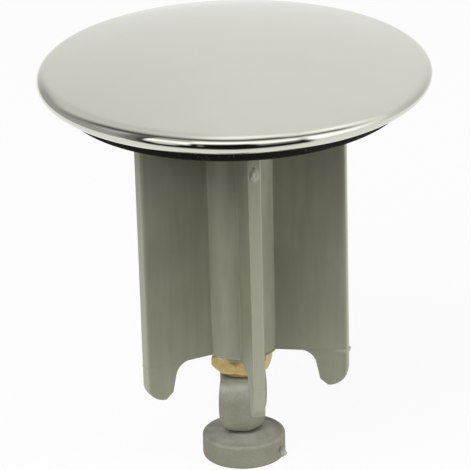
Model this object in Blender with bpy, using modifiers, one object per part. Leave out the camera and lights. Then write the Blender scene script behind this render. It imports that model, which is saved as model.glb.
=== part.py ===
"""Pop-up waste plug for a basin or bath, as an assembly of its separate pieces.

A chromed cap with a rolled edge sits on a moulded guide body with five wings. A rubber
ring between them seals the drain. The plug stands on a foot, carried by a brass screw
that is turned in the hub to set how far the lever lifts the plug, and held by a lock nut.
Everything is in metres, +Z up, with the origin at the centre of the foot's underside.
"""

import math

import bmesh
import bpy
from mathutils import Matrix, Vector

MM = 0.001

# Fits shared by the pieces
SEAT_GAP = 0.3 * MM
THREAD_CLEARANCE = 0.1 * MM
SOCKET_CLEARANCE = 0.15 * MM
WELD_DISTANCE = 0.001 * MM

# Foot that the lever's rod pushes from below
FOOT_RADIUS = 7.5 * MM
FOOT_HEIGHT = 4.45 * MM
FOOT_TOP_ROUND = 0.35 * MM
FOOT_BOTTOM_ROUND = 0.7 * MM
SOCKET_DEPTH = 3.0 * MM

# Neck of the grip, a pin with a bead that snaps into the foot
NECK_RADIUS = 1.7 * MM
NECK_GAP = 0.85 * MM
BEAD_PROUD = 0.3 * MM
BEAD_HEIGHT = 0.8 * MM

# Finger grip, a barrel-shaped core with two thin tabs
GRIP_HEIGHT = 11.2 * MM
GRIP_CORE_RADIUS = 3.7 * MM
GRIP_HALF_WIDTH = 5.75 * MM
GRIP_END_HALF_WIDTH = 5.0 * MM
GRIP_TAB_HALF_THICKNESS = 1.0 * MM
GRIP_BASE_RADIUS = 2.5 * MM
GRIP_BASE_ROUND = 2.8 * MM
GRIP_TOP_ROUND = 0.45 * MM
GRIP_TURN = math.radians(-52.0)

# Screw and lock nut, an M6 thread with a 10 mm spanner size
SCREW_RADIUS = 3.0 * MM
SCREW_LENGTH = 38.0 * MM
SCREW_ROOT_DEPTH = 8.5 * MM
SCREW_END_CHAMFER = 0.6 * MM
NUT_GAP = 0.6 * MM
NUT_HEIGHT = 3.9 * MM
NUT_ACROSS_FLATS = 10.0 * MM
NUT_FACE_RADIUS = 4.8 * MM
NUT_TURN = math.radians(-22.6)
NUT_OVERRUN = 0.3 * MM

# Hub of the guide body, with a screw bore below and a stud socket above
HUB_BOTTOM_RADIUS = 6.35 * MM
HUB_TOP_RADIUS = 6.75 * MM
HUB_LIP = 0.35 * MM
BODY_LENGTH = 48.0 * MM
BORE_SPARE = 5.3 * MM
BORE_MOUTH = 0.4 * MM

# Wings that guide the plug in the drain and stand it on their legs
WING_COUNT = 5
WING_SET_BACK = 1.25 * MM
WING_DRAFT = 0.25 * MM
WING_TOP_THICKNESS = 2.35 * MM
WING_BOTTOM_THICKNESS = 2.05 * MM
WING_EDGE_ROUND = 0.3 * MM
NOTCH_DROP = 0.25 * MM
NOTCH_FILLET = 2.9 * MM
LEG_DROP = 6.7 * MM
LEG_WIDTH = 6.3 * MM
LEG_LEAN = 1.15 * MM
LEG_ROUND = 3.7 * MM
LEG_TIP_CHAMFER = 1.2 * MM

# Plate and flange of the guide body, with the seal's groove between them
PLATE_THICKNESS = 1.6 * MM
PLATE_CLEARANCE = 0.5 * MM
GROOVE_DEPTH = 2.6 * MM
GROOVE_WALL = 1.6 * MM
FLANGE_THICKNESS = 1.5 * MM
BOSS_RADIUS = 7.6 * MM

# Rubber sealing ring
SEAL_INSET = 1.55 * MM
SEAL_RIM_WIDTH = 5.0 * MM
SEAL_HEIGHT = 2.0 * MM
SEAL_LIP_THICKNESS = 1.2 * MM
SEAL_EDGE_ROUND = 0.4 * MM

# Chromed cap, pressed from sheet, whose edge rolls down and under on an oval
CAP_RADIUS = 35.0 * MM
CAP_WALL = 0.8 * MM
ROLL_HALF_WIDTH = 2.95 * MM
ROLL_HALF_HEIGHT = 2.15 * MM
DOME_EDGE_NORMAL = math.radians(75.5)
ROLL_END_NORMAL = math.radians(-100.0)

# Stud soldered under the cap, screwed into the guide body
STUD_RADIUS = 4.0 * MM
STUD_REACH = 13.0 * MM
STUD_FLANGE_RADIUS = 9.0 * MM
STUD_FLANGE_THICKNESS = 1.0 * MM
STUD_END_CHAMFER = 0.6 * MM
BOSS_GAP = 0.6 * MM

# Faces round a full turn, and along the curved stretches of the outlines
LARGE_STEPS = 64
SMALL_STEPS = 40
ROUND_STEPS = 3
LEG_STEPS = 8
DOME_STEPS = 7
ROLL_STEPS = 6

# Levels, worked out from the foot upwards
GRIP_BOTTOM = FOOT_HEIGHT + NECK_GAP
GRIP_TOP = GRIP_BOTTOM + GRIP_HEIGHT
NUT_BOTTOM = GRIP_TOP + NUT_GAP
NUT_TOP = NUT_BOTTOM + NUT_HEIGHT
HUB_BOTTOM = NUT_TOP + SEAT_GAP
SEAL_BOTTOM = HUB_BOTTOM + BODY_LENGTH
SEAL_TOP = SEAL_BOTTOM + SEAL_HEIGHT
PLATE_BOTTOM = SEAL_TOP + SEAT_GAP
PLATE_TOP = PLATE_BOTTOM + PLATE_THICKNESS
ROLL_LEVEL = PLATE_BOTTOM + ROLL_HALF_HEIGHT

# Radii, worked out from the cap inwards
ROLL_CENTRE = CAP_RADIUS - ROLL_HALF_WIDTH
SEAL_RADIUS = ROLL_CENTRE - SEAL_INSET
FLANGE_RADIUS = SEAL_RADIUS - SEAL_RIM_WIDTH - SEAT_GAP
GROOVE_RADIUS = FLANGE_RADIUS - GROOVE_DEPTH
WING_TOP_RADIUS = GROOVE_RADIUS - GROOVE_WALL - WING_SET_BACK
WING_BOTTOM_RADIUS = WING_TOP_RADIUS - WING_DRAFT
LEG_INNER_RADIUS = WING_BOTTOM_RADIUS - LEG_WIDTH


def clear_scene():
    """Remove every object, so that the script can run again in an open file."""
    for old in list(bpy.data.objects):
        bpy.data.objects.remove(old, do_unlink=True)


def make_collection(name):
    """Return a new collection under the scene's own."""
    collection = bpy.data.collections.new(name)
    bpy.context.scene.collection.children.link(collection)
    return collection


def make_material(name, colour, roughness, metallic):
    """Return a Principled material with one colour, roughness and metallic value."""
    material = bpy.data.materials.new(name)
    material.use_nodes = True
    shader = material.node_tree.nodes["Principled BSDF"]
    shader.inputs["Base Color"].default_value = (*colour, 1.0)
    shader.inputs["Roughness"].default_value = roughness
    shader.inputs["Metallic"].default_value = metallic
    return material


def arc(centre, radius, start, end, steps):
    """Points (r, z) on an arc about centre, from one angle to another, both included."""
    turns = [start + (end - start) * step / steps for step in range(steps + 1)]
    return [(centre[0] + radius * math.cos(turn), centre[1] + radius * math.sin(turn))
            for turn in turns]


def roll_point(normal, inset):
    """Point (r, z) of the cap's rolled edge where it faces along normal, moved inwards by inset.

    The edge's section is an oval, and the outward normal's angle is measured from the
    horizontal, so that the same angles give an outer and an inner side of even thickness.
    """
    across = ROLL_HALF_WIDTH * math.cos(normal)
    upward = ROLL_HALF_HEIGHT * math.sin(normal)
    reach = math.hypot(across, upward)
    radius = ROLL_CENTRE + ROLL_HALF_WIDTH * across / reach
    level = ROLL_LEVEL + ROLL_HALF_HEIGHT * upward / reach
    return (radius - inset * math.cos(normal), level - inset * math.sin(normal))


def roll_points(start, end, inset, steps):
    """Points of the rolled edge from one facing angle to another, both included."""
    normals = [start + (end - start) * step / steps for step in range(steps + 1)]
    return [roll_point(normal, inset) for normal in normals]


def dome_radius():
    """Radius of the sphere that the cap's dome is a part of, tangent to the rolled edge."""
    return roll_point(DOME_EDGE_NORMAL, 0)[0] / math.cos(DOME_EDGE_NORMAL)


def dome_centre():
    """Level of the centre of the dome's sphere."""
    return roll_point(DOME_EDGE_NORMAL, 0)[1] - dome_radius() * math.sin(DOME_EDGE_NORMAL)


def dome_points(inset, end, steps):
    """Points (r, z) from the axis down the dome to the facing angle end, moved inwards by inset."""
    return arc((0, dome_centre()), dome_radius() - inset, math.pi / 2, end, steps)


def boss_top():
    """Level of the boss on the guide body, under the broad head of the cap's stud."""
    apex = dome_centre() + dome_radius()
    return apex - CAP_WALL - SEAT_GAP - STUD_FLANGE_THICKNESS - BOSS_GAP


def turned(name, profile, steps, material, collection):
    """Turn a profile of (r, z) points about the Z axis, listed down its outer side."""
    mesh = bpy.data.meshes.new(name)
    points = [(radius, 0, level) for radius, level in profile]
    edges = [(index, index + 1) for index in range(len(points) - 1)]
    if profile[0][0] > 0:
        edges.append((len(points) - 1, 0))
    mesh.from_pydata(points, edges, [])
    body = bpy.data.objects.new(name, mesh)
    collection.objects.link(body)
    screw = body.modifiers.new("turn", "SCREW")
    screw.axis = "Z"
    screw.angle = 2 * math.pi
    screw.steps = steps
    screw.render_steps = steps
    screw.use_merge_vertices = True
    screw.merge_threshold = WELD_DISTANCE
    body.data.materials.append(material)
    return body


def shade_round(body, angle):
    """Shade a turned piece smooth, apart from edges sharper than angle."""
    bpy.context.view_layer.update()
    mesh = bpy.data.meshes.new_from_object(body.evaluated_get(bpy.context.evaluated_depsgraph_get()))
    body.modifiers.clear()
    body.data = mesh
    mesh.shade_smooth()
    mesh.set_sharp_from_angle(angle=angle)


def flat_plate(name, outline, thickness):
    """Mesh of a flat outline of (x, y) points, extruded by half its thickness each way."""
    curve = bpy.data.curves.new(name, "CURVE")
    curve.dimensions = "2D"
    curve.fill_mode = "BOTH"
    curve.extrude = thickness / 2
    spline = curve.splines.new("POLY")
    spline.points.add(len(outline) - 1)
    for point, (x, y) in zip(spline.points, outline):
        point.co = (x, y, 0, 1)
    spline.use_cyclic_u = True
    drawn = bpy.data.objects.new(name, curve)
    bpy.context.scene.collection.objects.link(drawn)
    bpy.context.view_layer.update()
    mesh = bpy.data.meshes.new_from_object(drawn.evaluated_get(bpy.context.evaluated_depsgraph_get()))
    bpy.data.objects.remove(drawn, do_unlink=True)
    shape = bmesh.new()
    shape.from_mesh(mesh)
    bmesh.ops.remove_doubles(shape, verts=shape.verts, dist=WELD_DISTANCE)
    bmesh.ops.recalc_face_normals(shape, faces=shape.faces)
    shape.to_mesh(mesh)
    shape.free()
    return mesh


def add_bevel(body, width, segments):
    """Round a piece's sharp edges with a live Bevel modifier."""
    bevel = body.modifiers.new("rounding", "BEVEL")
    bevel.width = width
    bevel.segments = segments
    bevel.limit_method = "ANGLE"
    bevel.angle_limit = math.radians(40.0)


def join_with(body, cutters, operation):
    """Add one exact Boolean modifier for each cutter."""
    for cutter in cutters:
        boolean = body.modifiers.new(cutter.name, "BOOLEAN")
        boolean.operation = operation
        boolean.solver = "EXACT"
        boolean.object = cutter


def hide_cutter(cutter):
    """Mark a helper shape as a cutter, drawn as wire and left out of renders."""
    cutter.hide_render = True
    cutter.display_type = "WIRE"


def make_foot(parts, material):
    """Foot disc with a blind socket and a groove that the grip's bead snaps into."""
    socket = NECK_RADIUS + SOCKET_CLEARANCE
    groove = socket + BEAD_PROUD
    floor = FOOT_HEIGHT - SOCKET_DEPTH
    groove_top = floor + SEAT_GAP + BEAD_HEIGHT + SEAT_GAP
    top_centre = (FOOT_RADIUS - FOOT_TOP_ROUND, FOOT_HEIGHT - FOOT_TOP_ROUND)
    bottom_centre = (FOOT_RADIUS - FOOT_BOTTOM_ROUND, FOOT_BOTTOM_ROUND)
    profile = [(0, floor), (groove, floor), (groove, groove_top), (socket, groove_top + BEAD_PROUD),
               (socket, FOOT_HEIGHT)]
    profile += arc(top_centre, FOOT_TOP_ROUND, math.pi / 2, 0, ROUND_STEPS)
    profile += arc(bottom_centre, FOOT_BOTTOM_ROUND, 0, -math.pi / 2, ROUND_STEPS)
    profile.append((0, 0))
    foot = turned("foot_disc", profile, SMALL_STEPS, material, parts)
    shade_round(foot, math.radians(35.0))
    return foot


def grip_section(level, half_width, core, tab, fullness, points):
    """Ring of points round the grip: a core that bulges between two thin tabs.

    Across the grip at x the half thickness is the tab's, plus a bell that rises to the
    core at the middle, and both close to nothing at the ends of the width.
    """
    ring = []
    for index in range(points):
        turn = 2 * math.pi * index / points
        share = math.cos(turn)
        closing = max(0.0, 1 - abs(share) ** fullness) ** (1 / fullness)
        bell = math.exp(-(share * half_width / core) ** 4) if fullness > 2 else 1.0
        thickness = closing * (tab + (core - tab) * bell)
        ring.append(Vector((share * half_width, math.copysign(thickness, math.sin(turn)), level)))
    return ring


def grip_sections(points):
    """Rings from the end of the neck's pin up to the top of the grip."""
    floor = FOOT_HEIGHT - SOCKET_DEPTH + SEAT_GAP
    bead = NECK_RADIUS + BEAD_PROUD
    round_levels = [(floor, NECK_RADIUS), (floor + BEAD_HEIGHT / 4, bead),
                    (floor + BEAD_HEIGHT * 3 / 4, bead), (floor + BEAD_HEIGHT, NECK_RADIUS),
                    (GRIP_BOTTOM, NECK_RADIUS), (GRIP_BOTTOM, GRIP_BASE_RADIUS)]
    rings = [grip_section(level, radius, radius, radius, 2, points) for level, radius in round_levels]
    middle = (GRIP_BOTTOM + GRIP_TOP) / 2
    reach = (GRIP_TOP - GRIP_BOTTOM) / 2
    shares = [0.0, 0.03, 0.1, 0.2, 0.35, 0.5, 0.65, 0.8, 0.9]
    for share in shares[1:]:
        level = GRIP_BOTTOM + share * GRIP_HEIGHT
        barrel = GRIP_HALF_WIDTH - (GRIP_HALF_WIDTH - GRIP_END_HALF_WIDTH) * ((level - middle) / reach) ** 2
        lift = min(1.0, (level - GRIP_BOTTOM) / GRIP_BASE_ROUND)
        swell = math.sqrt(1 - (1 - lift) ** 2)
        width = GRIP_BASE_RADIUS + (barrel - GRIP_BASE_RADIUS) * swell
        core = GRIP_BASE_RADIUS + (GRIP_CORE_RADIUS - GRIP_BASE_RADIUS) * swell
        rings.append(grip_section(level, width, core, GRIP_TAB_HALF_THICKNESS, 4, points))
    for turn in (0.0, 45.0, 90.0):
        level = GRIP_TOP - GRIP_TOP_ROUND * (1 - math.sin(math.radians(turn)))
        inset = GRIP_TOP_ROUND * (1 - math.cos(math.radians(turn)))
        rings.append(grip_section(level, GRIP_END_HALF_WIDTH - inset, GRIP_CORE_RADIUS - inset,
                                  GRIP_TAB_HALF_THICKNESS - inset, 4, points))
    return rings


def loft(name, rings, material, collection):
    """Close a stack of rings with the same number of points into one solid."""
    shape = bmesh.new()
    rows = [[shape.verts.new(point) for point in ring] for ring in rings]
    count = len(rows[0])
    for lower, upper in zip(rows, rows[1:]):
        for index in range(count):
            following = (index + 1) % count
            shape.faces.new((lower[index], lower[following], upper[following], upper[index]))
    shape.faces.new(list(reversed(rows[0])))
    shape.faces.new(rows[-1])
    bmesh.ops.recalc_face_normals(shape, faces=shape.faces)
    mesh = bpy.data.meshes.new(name)
    shape.to_mesh(mesh)
    shape.free()
    mesh.shade_smooth()
    mesh.set_sharp_from_angle(angle=math.radians(50.0))
    body = bpy.data.objects.new(name, mesh)
    body.data.materials.append(material)
    collection.objects.link(body)
    return body


def make_grip(parts, cutters, material):
    """Finger grip, moulded round the lower end of the brass screw."""
    grip = loft("screw_grip", grip_sections(SMALL_STEPS), material, parts)
    grip.rotation_euler.z = GRIP_TURN - math.pi / 2
    root = GRIP_TOP - SCREW_ROOT_DEPTH - THREAD_CLEARANCE
    radius = SCREW_RADIUS + THREAD_CLEARANCE
    profile = [(0, GRIP_TOP + SEAT_GAP), (radius, GRIP_TOP + SEAT_GAP), (radius, root), (0, root)]
    cutter = turned("screw_recess", profile, SMALL_STEPS, material, cutters)
    hide_cutter(cutter)
    join_with(grip, [cutter], "DIFFERENCE")
    return grip


def make_screw(parts, material):
    """Brass screw, plain at its thread's outside diameter."""
    bottom = GRIP_TOP - SCREW_ROOT_DEPTH
    top = bottom + SCREW_LENGTH
    end = SCREW_RADIUS - SCREW_END_CHAMFER
    profile = [(0, top), (end, top), (SCREW_RADIUS, top - SCREW_END_CHAMFER), (SCREW_RADIUS, bottom),
               (0, bottom)]
    screw = turned("adjusting_screw", profile, SMALL_STEPS, material, parts)
    shade_round(screw, math.radians(30.0))
    return screw


def make_nut(parts, cutters, material):
    """Hexagon nut whose corners are turned off by a cone at both faces."""
    corner = NUT_ACROSS_FLATS / math.sqrt(3)
    drop = corner - NUT_FACE_RADIUS
    outline = [(corner * math.cos(math.radians(60 * side)), corner * math.sin(math.radians(60 * side)))
               for side in range(6)]
    mesh = flat_plate("lock_nut", outline, NUT_HEIGHT)
    mesh.transform(Matrix.Translation((0, 0, NUT_BOTTOM + NUT_HEIGHT / 2)))
    nut = bpy.data.objects.new("lock_nut", mesh)
    nut.data.materials.append(material)
    nut.rotation_euler.z = NUT_TURN - math.pi / 2
    parts.objects.link(nut)
    reach = corner + NUT_OVERRUN
    face = NUT_FACE_RADIUS - NUT_OVERRUN
    above = NUT_TOP + NUT_OVERRUN
    below = NUT_BOTTOM - NUT_OVERRUN
    chamfer = [(0, above), (face, above), (reach, NUT_TOP - drop - NUT_OVERRUN),
               (reach, NUT_BOTTOM + drop + NUT_OVERRUN), (face, below), (0, below)]
    cone = turned("nut_chamfer", chamfer, LARGE_STEPS, material, cutters)
    hide_cutter(cone)
    join_with(nut, [cone], "INTERSECT")
    bore = SCREW_RADIUS + THREAD_CLEARANCE
    hole = turned("nut_bore", [(0, above), (bore, above), (bore, below), (0, below)],
                  SMALL_STEPS, material, cutters)
    hide_cutter(hole)
    join_with(nut, [hole], "DIFFERENCE")
    return nut


def wing_outline():
    """Outline (r, z) of one wing, from the notch under the hub round its leg to the plate."""
    bore = SCREW_RADIUS + THREAD_CLEARANCE
    root = (bore + HUB_BOTTOM_RADIUS) / 2
    ceiling = HUB_BOTTOM - NOTCH_DROP
    tip = HUB_BOTTOM - LEG_DROP
    tip_radius = WING_BOTTOM_RADIUS - LEG_ROUND
    lean = math.atan2(LEG_LEAN, ceiling - tip - LEG_TIP_CHAMFER)
    fillet_reach = NOTCH_FILLET * (1 / math.cos(lean) - math.tan(lean))
    fillet_centre = (LEG_INNER_RADIUS - fillet_reach, ceiling - NOTCH_FILLET)
    outline = [(root, ceiling)]
    outline += arc(fillet_centre, NOTCH_FILLET, math.pi / 2, lean, LEG_STEPS // 2)
    outline.append((LEG_INNER_RADIUS + LEG_LEAN, tip + LEG_TIP_CHAMFER))
    outline += arc((tip_radius, tip + LEG_ROUND), LEG_ROUND, -math.pi / 2, 0, LEG_STEPS)
    top = PLATE_BOTTOM + PLATE_THICKNESS / 2
    outline += [(WING_TOP_RADIUS, top), (root, top)]
    return outline


def wing_mesh():
    """One wing standing in the XZ plane, thinner towards its leg, as a mould needs."""
    mesh = flat_plate("wing", wing_outline(), WING_TOP_THICKNESS)
    mesh.transform(Matrix.Rotation(math.pi / 2, 4, "X"))
    bottom = HUB_BOTTOM - LEG_DROP
    draft = (WING_TOP_THICKNESS - WING_BOTTOM_THICKNESS) / WING_TOP_THICKNESS
    for point in mesh.vertices:
        rise = (point.co.z - bottom) / (PLATE_BOTTOM - bottom)
        point.co.y *= 1 - draft * (1 - min(rise, 1.0))
    return mesh


def hub_profile():
    """Profile (r, z) of hub, plate and flange, from the stud's socket round to the bore."""
    socket = STUD_RADIUS + THREAD_CLEARANCE
    bore = SCREW_RADIUS + THREAD_CLEARANCE
    bore_top = GRIP_TOP - SCREW_ROOT_DEPTH + SCREW_LENGTH + BORE_SPARE
    socket_floor = boss_top() - STUD_REACH - SEAT_GAP
    plate_radius = roll_point(ROLL_END_NORMAL, 0)[0] - PLATE_CLEARANCE
    groove_floor = SEAL_TOP - SEAL_LIP_THICKNESS - SEAT_GAP
    flange_bottom = groove_floor - FLANGE_THICKNESS
    return [(0, socket_floor), (socket, socket_floor), (socket, boss_top()), (BOSS_RADIUS, boss_top()),
            (BOSS_RADIUS, PLATE_TOP), (plate_radius, PLATE_TOP), (plate_radius, PLATE_BOTTOM),
            (GROOVE_RADIUS, PLATE_BOTTOM), (GROOVE_RADIUS, groove_floor),
            (FLANGE_RADIUS, groove_floor), (FLANGE_RADIUS, flange_bottom),
            (GROOVE_RADIUS - GROOVE_WALL, flange_bottom),
            (GROOVE_RADIUS - GROOVE_WALL, PLATE_BOTTOM), (HUB_TOP_RADIUS, PLATE_BOTTOM),
            (HUB_BOTTOM_RADIUS, HUB_BOTTOM + HUB_LIP), (HUB_BOTTOM_RADIUS - HUB_LIP, HUB_BOTTOM),
            (bore + BORE_MOUTH, HUB_BOTTOM), (bore, HUB_BOTTOM + BORE_MOUTH),
            (bore, bore_top), (0, bore_top)]


def make_guide_body(parts, cutters, material):
    """Guide body, one moulding of hub, plate, flange and wings."""
    body = turned("guide_body", hub_profile(), LARGE_STEPS, material, parts)
    mesh = wing_mesh()
    wings = []
    for number in range(WING_COUNT):
        wing = bpy.data.objects.new(f"wing_{number + 1}", mesh)
        cutters.objects.link(wing)
        wing.rotation_euler.z = 2 * math.pi * number / WING_COUNT - math.pi / 2
        add_bevel(wing, WING_EDGE_ROUND, 1)
        hide_cutter(wing)
        wings.append(wing)
    join_with(body, wings, "UNION")
    shade_round(body, math.radians(25.0))
    return body


def make_seal(parts, material):
    """Rubber ring with a thin inner lip that sits in the guide body's groove."""
    inner = FLANGE_RADIUS + SEAT_GAP
    lip = GROOVE_RADIUS + SEAT_GAP
    lip_bottom = SEAL_TOP - SEAL_LIP_THICKNESS
    low_centre = (SEAL_RADIUS - SEAL_EDGE_ROUND, SEAL_BOTTOM + SEAL_EDGE_ROUND)
    profile = [(lip, SEAL_TOP), (SEAL_RADIUS, SEAL_TOP)]
    profile += arc(low_centre, SEAL_EDGE_ROUND, 0, -math.pi / 2, ROUND_STEPS)
    profile += [(inner, SEAL_BOTTOM), (inner, lip_bottom), (lip, lip_bottom)]
    seal = turned("seal_ring", profile, LARGE_STEPS, material, parts)
    shade_round(seal, math.radians(35.0))
    return seal


def make_stud(parts, material):
    """Brass stud with a broad head that follows the inside of the dome."""
    head_inset = CAP_WALL + SEAT_GAP
    head_edge = math.acos(STUD_FLANGE_RADIUS / (dome_radius() - head_inset))
    head_top = dome_points(head_inset, head_edge, ROUND_STEPS)
    head_bottom = head_top[0][1] - STUD_FLANGE_THICKNESS
    end = boss_top() - STUD_REACH
    tip = STUD_RADIUS - STUD_END_CHAMFER
    profile = head_top + [(STUD_FLANGE_RADIUS, head_bottom), (STUD_RADIUS, head_bottom),
                          (STUD_RADIUS, end + STUD_END_CHAMFER), (tip, end), (0, end)]
    stud = turned("cap_stud", profile, SMALL_STEPS, material, parts)
    shade_round(stud, math.radians(30.0))
    return stud


def make_cap(parts, material):
    """Pressed dome whose edge rolls outwards, down and under in one smooth curve."""
    profile = dome_points(0, DOME_EDGE_NORMAL, DOME_STEPS)
    profile += roll_points(DOME_EDGE_NORMAL, 0, 0, ROLL_STEPS)[1:]
    profile += roll_points(0, ROLL_END_NORMAL, 0, ROLL_STEPS)[1:]
    profile += roll_points(ROLL_END_NORMAL, 0, CAP_WALL, ROLL_STEPS)
    profile += roll_points(0, DOME_EDGE_NORMAL, CAP_WALL, ROLL_STEPS)[1:]
    profile += list(reversed(dome_points(CAP_WALL, DOME_EDGE_NORMAL, DOME_STEPS)))[1:]
    cap = turned("cap", profile, LARGE_STEPS, material, parts)
    shade_round(cap, math.radians(35.0))
    return cap


def build_plug():
    """Make every piece of the plug and return the collection that holds them."""
    clear_scene()
    parts = make_collection("drain_valve_plug")
    cutters = make_collection("cutters")
    chrome = make_material("chrome_plate", (0.60, 0.60, 0.56), 0.08, 1.0)
    rubber = make_material("black_rubber", (0.02, 0.02, 0.018), 0.6, 0.0)
    body_plastic = make_material("grey_moulded_plastic", (0.19, 0.20, 0.15), 0.45, 0.0)
    screw_plastic = make_material("grey_filled_plastic", (0.27, 0.27, 0.22), 0.7, 0.0)
    brass = make_material("turned_brass", (0.58, 0.38, 0.12), 0.3, 1.0)
    make_foot(parts, screw_plastic)
    make_grip(parts, cutters, screw_plastic)
    make_screw(parts, brass)
    make_nut(parts, cutters, brass)
    make_guide_body(parts, cutters, body_plastic)
    make_seal(parts, rubber)
    make_stud(parts, brass)
    make_cap(parts, chrome)
    return parts


build_plug()
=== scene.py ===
"""Looks of a pop-up drain plug, from the foot that the lever pushes up to the chromed cap.

Each section makes one piece at its real size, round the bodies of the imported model, with its
surface, its finish and the body that it moves with. The last sections are floor, light and camera.
"""

import math

import bmesh
import bpy
import numpy as np
from mathutils import Matrix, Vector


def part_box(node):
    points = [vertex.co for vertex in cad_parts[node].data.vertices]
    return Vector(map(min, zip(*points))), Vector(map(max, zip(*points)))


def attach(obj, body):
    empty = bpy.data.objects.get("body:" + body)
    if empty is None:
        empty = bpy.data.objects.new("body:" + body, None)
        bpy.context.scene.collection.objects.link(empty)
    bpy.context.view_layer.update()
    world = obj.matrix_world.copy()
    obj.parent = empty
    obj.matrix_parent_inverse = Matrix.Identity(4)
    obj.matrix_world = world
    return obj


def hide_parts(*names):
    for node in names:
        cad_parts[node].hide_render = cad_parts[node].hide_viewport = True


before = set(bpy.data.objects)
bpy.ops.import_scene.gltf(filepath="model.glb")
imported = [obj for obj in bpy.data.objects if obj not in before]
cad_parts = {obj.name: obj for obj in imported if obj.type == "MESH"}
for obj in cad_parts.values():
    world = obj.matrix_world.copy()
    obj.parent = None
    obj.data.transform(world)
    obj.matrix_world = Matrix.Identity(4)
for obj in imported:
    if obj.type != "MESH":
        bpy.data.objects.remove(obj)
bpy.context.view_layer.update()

# Foot disc: a short puck moulded in filled grey plastic, matt and slightly grainy. Its socket
# snaps over the bead of the grip's neck, and the lever pushes its flat underside. A torn gate,
# left where it was broken off the runner, stands out low on its right side, beside a small pit.
MM = 0.001
WELD = 0.0005 * MM
SHARP_ANGLE = math.radians(35.0)
foot_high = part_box("foot_disc")[1]
foot_radius = foot_high.x
foot_top = foot_high.z
foot_top_round = 0.5 * MM
foot_bottom_round = 0.7 * MM
foot_row = 0.12 * MM
socket_radius = 1.85 * MM
socket_depth = 3.0 * MM
socket_groove = 0.3 * MM
socket_groove_height = 1.4 * MM
collar_radius = 2.75 * MM
collar_height = 0.8 * MM
collar_slope = 3.7 * MM
gate_azimuth = math.radians(-28.0)
gate_level = 0.95 * MM
gate_proud = 0.75 * MM
gate_half_width = 0.5 * MM
gate_half_height = 0.8 * MM
gate_reach = math.radians(8.0)
gate_white_reaches = (0.5 * MM, 1.1 * MM)
pit_azimuth = math.radians(-36.0)
pit_level = 2.0 * MM
pit_radius = 0.5 * MM
pit_depth = 1.1 * MM
# Levels of the painted light that makes the grip's upper part and the foot's top paler.
grip_painted_light_levels = (11.5 * MM, 14.8 * MM)
grip_painted_light_end_levels = (15.0 * MM, 16.0 * MM)
foot_top_painted_light_levels = (3.8 * MM, 4.35 * MM)
foot_top_painted_light_end = 5.2 * MM
plastic_cloud = 2.6 * MM
plastic_filler = 0.32 * MM
plastic_tooth = 0.05 * MM
COLLAR_STEPS = 16
ROUND_STEPS = 10
FOOT_COLUMNS = 160
GATE_COLUMNS = 60


def arc(centre, radius, start, end, steps):
    """Points (r, z) on an arc about a centre, from one angle in degrees to another, both included."""
    turn = np.radians(np.linspace(start, end, steps + 1))
    return np.stack((centre[0] + radius * np.cos(turn), centre[1] + radius * np.sin(turn)), axis=1)


def path(*stretches):
    """One profile of points from stretches of points, each an array or a single point."""
    return np.concatenate([np.atleast_2d(np.array(stretch, float)) for stretch in stretches])


def fine(profile, spacing):
    """The same profile with points added along its straight stretches, at most a spacing apart."""
    steps = np.hypot(*np.diff(profile, axis=0).T)
    places = np.concatenate([[0.0], np.cumsum(steps)])
    wanted = [np.linspace(a, b, max(1, int(np.ceil((b - a) / spacing))), endpoint=False)
              for a, b in zip(places[:-1], places[1:])]
    where = np.concatenate(wanted + [places[-1:]])
    return np.stack([np.interp(where, places, column) for column in profile.T], axis=1)


def turned(profile, turns):
    """Rings about the Z axis: each point (r, z) of the profile goes round at the angles given."""
    radius, level = profile.T
    return np.stack((np.outer(radius, np.cos(turns)), np.outer(radius, np.sin(turns)),
                     np.outer(level, np.ones_like(turns))), axis=2)


def skin(name, rings, capped=False, looped=False):
    """A closed surface over rings of points: each ring joins the next by quads, point to point.

    A ring drawn together on one spot becomes a pole. Capped closes the first and last ring with
    one flat face each, and looped joins the last ring to the first.
    """
    count, columns = rings.shape[:2]
    spots = np.arange(count * columns).reshape(count, columns)
    if looped:
        spots = np.concatenate((spots, spots[:1]))
    lower, upper = spots[:-1], spots[1:]
    quads = np.stack((lower, np.roll(lower, -1, 1), np.roll(upper, -1, 1), upper), axis=2)
    faces = quads.reshape(-1, 4).tolist()
    if capped:
        faces += [spots[0, ::-1].tolist(), spots[-1].tolist()]
    mesh = bpy.data.meshes.new(name)
    mesh.from_pydata(rings.reshape(-1, 3), [], faces)
    shape = bmesh.new()
    shape.from_mesh(mesh)
    bmesh.ops.remove_doubles(shape, verts=shape.verts, dist=WELD)
    bmesh.ops.recalc_face_normals(shape, faces=shape.faces)
    shape.to_mesh(mesh)
    shape.free()
    mesh.shade_smooth()
    mesh.set_sharp_from_angle(angle=SHARP_ANGLE)
    made = bpy.data.objects.new(name, mesh)
    bpy.context.scene.collection.objects.link(made)
    return made


def linear(code):
    """Linear RGBA of an sRGB hex colour."""
    share = np.array([int(code[place:place + 2], 16) for place in (1, 3, 5)]) / 255
    return (*np.where(share <= 0.04045, share / 12.92, ((share + 0.055) / 1.055) ** 2.4).tolist(), 1.0)


def add(tree, kind, inputs=None, **settings):
    """Add one node to a tree, with its inputs, each a value or the output that feeds it."""
    made = tree.nodes.new(kind)
    for name, value in settings.items():
        setattr(made, name, value)
    for socket, value in (inputs or {}).items():
        if isinstance(value, bpy.types.NodeSocket):
            tree.links.new(value, made.inputs[socket])
        else:
            made.inputs[socket].default_value = value
    return made


def calculate(tree, operation, *inputs):
    """The result of one calculation on numbers or outputs."""
    return add(tree, "ShaderNodeMath", dict(enumerate(inputs)), operation=operation).outputs["Value"]


def ramp(tree, value, start, end, low=0.0, high=1.0):
    """What goes evenly from low to high while a value goes from start to end, and is level beyond."""
    return add(tree, "ShaderNodeMapRange", {"Value": value, "From Min": start, "From Max": end,
                                            "To Min": low, "To Max": high}).outputs["Result"]


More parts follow.
